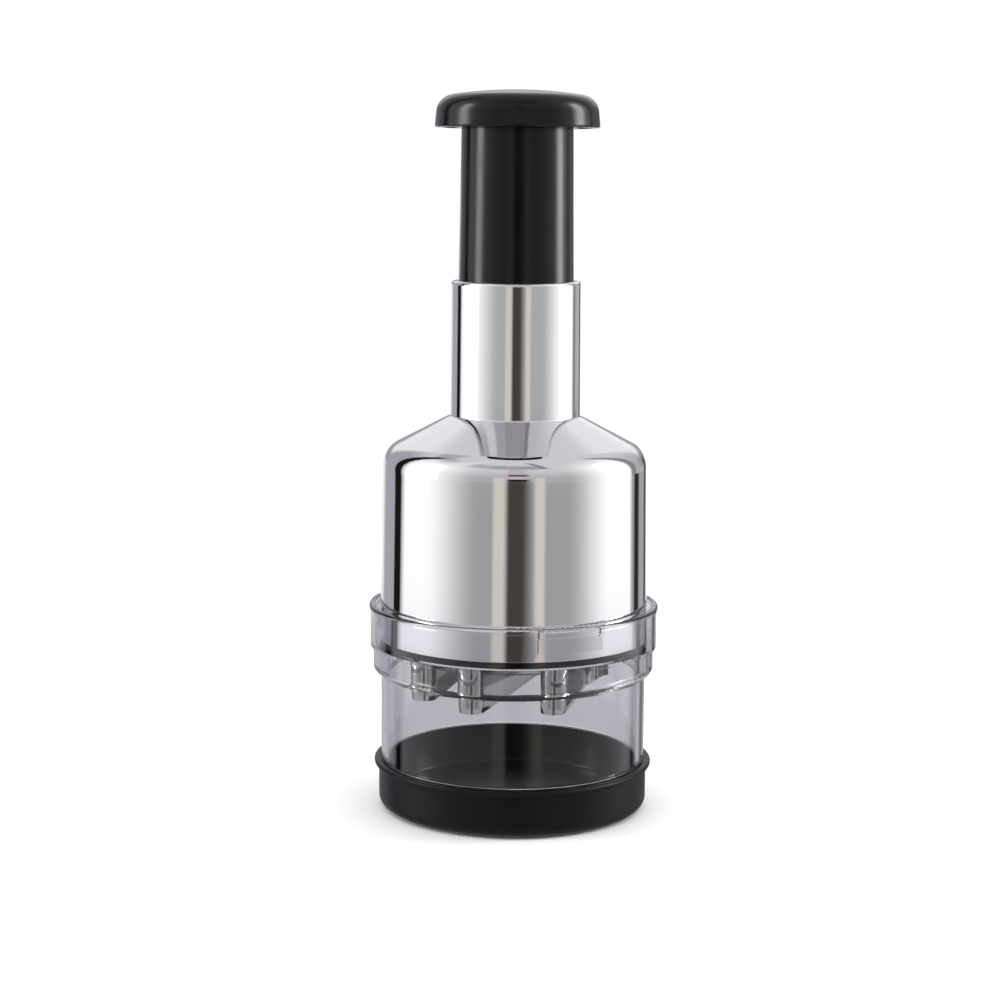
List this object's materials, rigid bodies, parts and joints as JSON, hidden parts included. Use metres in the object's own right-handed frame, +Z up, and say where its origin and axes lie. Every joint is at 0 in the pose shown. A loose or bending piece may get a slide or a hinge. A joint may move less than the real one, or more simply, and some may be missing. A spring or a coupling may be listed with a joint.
{
  "type": "plunger food chopper",
  "caption": "Hand food chopper: a push knob drives a turning zigzag blade down into a clear cup that stands in a removable base tray.",
  "frame": {"origin": "middle of the circle that the foot ring stands on, at table height", "axes": "+Z up along the plunger; -Y towards the front"},
  "size_m": [0.0874, 0.0874, 0.215],
  "materials": {
    "black_abs": "gloss moulded ABS",
    "clear_san": "clear moulded SAN plastic",
    "chrome_plate": "bright chrome plating on ABS",
    "blade_steel": "rolled stainless strip with ground edge",
    "steel_bar": "drawn stainless bar",
    "zinc_steel": "bright zinc plating",
    "white_acetal": "moulded acetal",
    "soft_rubber": "matt soft rubber"
  },
  "bodies": {
    "base": {"base_tray": "black_abs", "foot_ring": "soft_rubber"},
    "cup": {"clear_cup": "clear_san"},
    "housing": {"housing_shell": "chrome_plate", "retaining_ring": "black_abs", "guide_sleeve": "black_abs", "sleeve_screws": "zinc_steel", "drive_nut": "white_acetal", "spring_seat": "zinc_steel", "stop_ring": "soft_rubber", "return_spring": "zinc_steel"},
    "plunger": {"plunger_tube": "black_abs", "knob_cap": "black_abs", "shaft_bush": "white_acetal"},
    "blade_unit": {"drive_shaft": "steel_bar", "shaft_pin": "steel_bar", "blade_carrier": "black_abs", "zigzag_blade": "blade_steel", "shaft_washer": "zinc_steel", "shaft_screw": "zinc_steel"},
    "wiper": {"wiper_plate": "black_abs"}
  },
  "joints": [
    {"name": "cup_lift", "type": "slide", "parent": "base", "child": "cup", "axis": [0, 0, 1], "range_m": [0, 0.04]},
    {"name": "housing_twist", "type": "hinge", "parent": "cup", "child": "housing", "pos_m": [0, 0, 0.0565], "axis": [0, 0, 1], "range_deg": [0, 35]},
    {"name": "press", "type": "slide", "parent": "housing", "child": "plunger", "axis": [0, 0, -1], "range_m": [0, 0.03], "stiffness_N_per_m": 450, "springref_m": -0.012, "deforming": ["return_spring"]},
    {"name": "blade_turn", "type": "hinge", "parent": "plunger", "child": "blade_unit", "pos_m": [0, 0, 0.1715], "axis": [0, 0, 1], "range_deg": [0, 36.1]},
    {"name": "wiper_turn", "type": "hinge", "parent": "housing", "child": "wiper", "pos_m": [0, 0, 0.053], "axis": [0, 0, 1], "range_deg": [0, 36.1]}
  ],
  "couplings": [
    {"joint": "blade_turn", "follows": "press", "rad_per_m": 20.944},
    {"joint": "wiper_turn", "follows": "press", "rad_per_m": 20.944}
  ]
}
